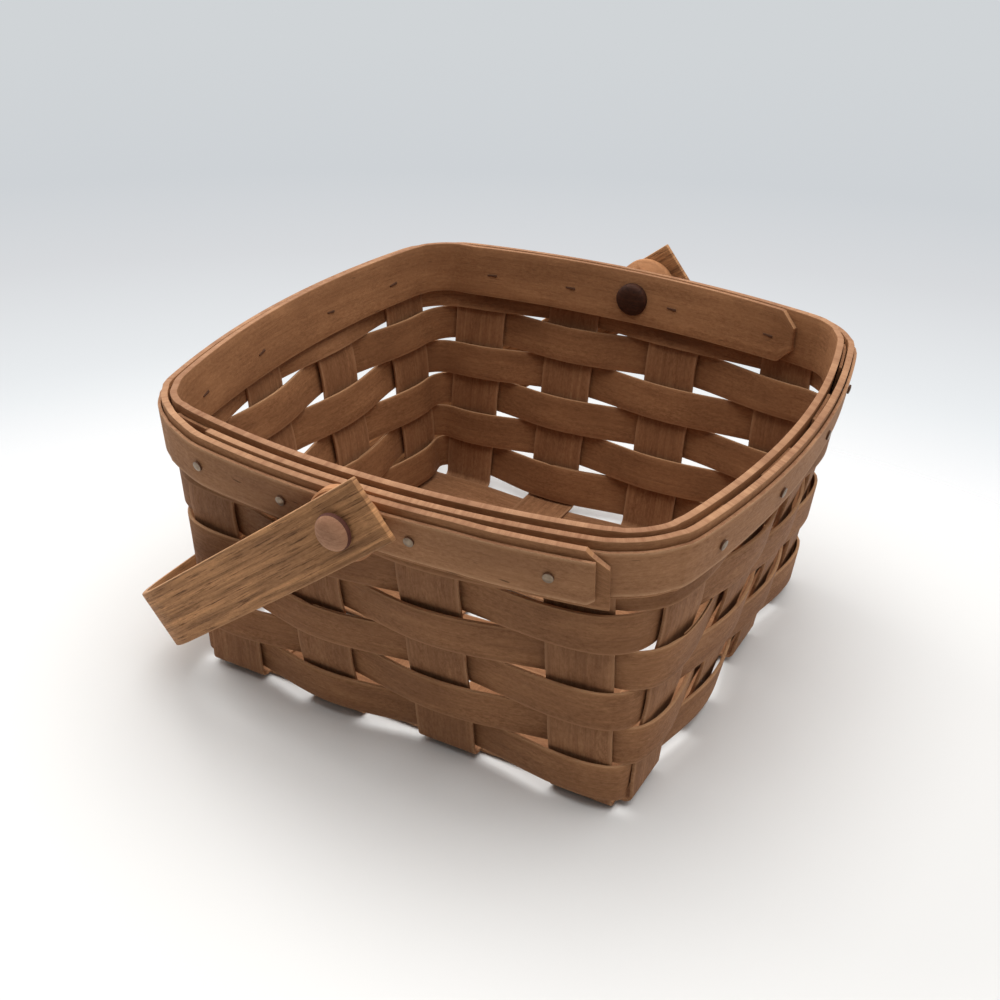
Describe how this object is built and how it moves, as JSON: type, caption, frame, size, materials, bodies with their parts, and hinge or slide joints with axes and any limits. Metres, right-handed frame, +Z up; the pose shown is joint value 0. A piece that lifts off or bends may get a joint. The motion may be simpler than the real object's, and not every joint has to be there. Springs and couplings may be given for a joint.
{
  "type": "berry basket",
  "caption": "Square berry basket woven from flat wooden splints, with a nailed layered rim and a swing handle on wooden pegs, folded down at one side.",
  "frame": {"origin": "middle of the square base, on the surface the basket stands on", "axes": "+Z up, -Y out of the near wall, -X towards the wall that the folded handle lies over; the handle pivots about a line along Y"},
  "size_m": [0.186, 0.2097, 0.1018],
  "materials": {
    "stake_wood": "stained, satin",
    "weaver_wood": "stained, satin",
    "band_wood": "stained, satin",
    "handle_wood": "stained, satin",
    "peg_wood": "stained, satin",
    "nail_metal": "dull"
  },
  "bodies": {
    "basket": {"stake_lengthways_1": "stake_wood", "stake_lengthways_2": "stake_wood", "stake_lengthways_3": "stake_wood", "stake_lengthways_4": "stake_wood", "stake_crossways_1": "stake_wood", "stake_crossways_2": "stake_wood", "stake_crossways_3": "stake_wood", "stake_crossways_4": "stake_wood", "weaver_first_row": "weaver_wood", "weaver_second_row": "weaver_wood", "weaver_third_row": "weaver_wood", "weaver_fourth_row": "weaver_wood", "weaver_fifth_row": "weaver_wood", "rim_inner_band": "band_wood", "rim_under_band": "band_wood", "rim_outer_band": "band_wood", "rim_nail_near_1": "nail_metal", "rim_nail_near_2": "nail_metal", "rim_nail_near_3": "nail_metal", "rim_nail_near_4": "nail_metal", "rim_nail_right_1": "nail_metal", "rim_nail_right_2": "nail_metal", "rim_nail_right_3": "nail_metal", "rim_nail_right_4": "nail_metal", "rim_nail_far_1": "nail_metal", "rim_nail_far_2": "nail_metal", "rim_nail_far_3": "nail_metal", "rim_nail_far_4": "nail_metal", "rim_nail_left_1": "nail_metal", "rim_nail_left_2": "nail_metal", "rim_nail_left_3": "nail_metal", "rim_nail_left_4": "nail_metal", "handle_peg_near": "peg_wood", "handle_washer_near": "peg_wood", "handle_button_near": "peg_wood", "handle_peg_far": "peg_wood", "handle_washer_far": "peg_wood", "handle_button_far": "peg_wood"},
    "handle": {"swing_handle": "handle_wood"}
  },
  "joints": [
    {"name": "handle_swing", "type": "hinge", "parent": "basket", "child": "handle", "pos_m": [0, 0, 0.08534], "axis": [0, 1, 0], "range_deg": [0, 256]}
  ]
}
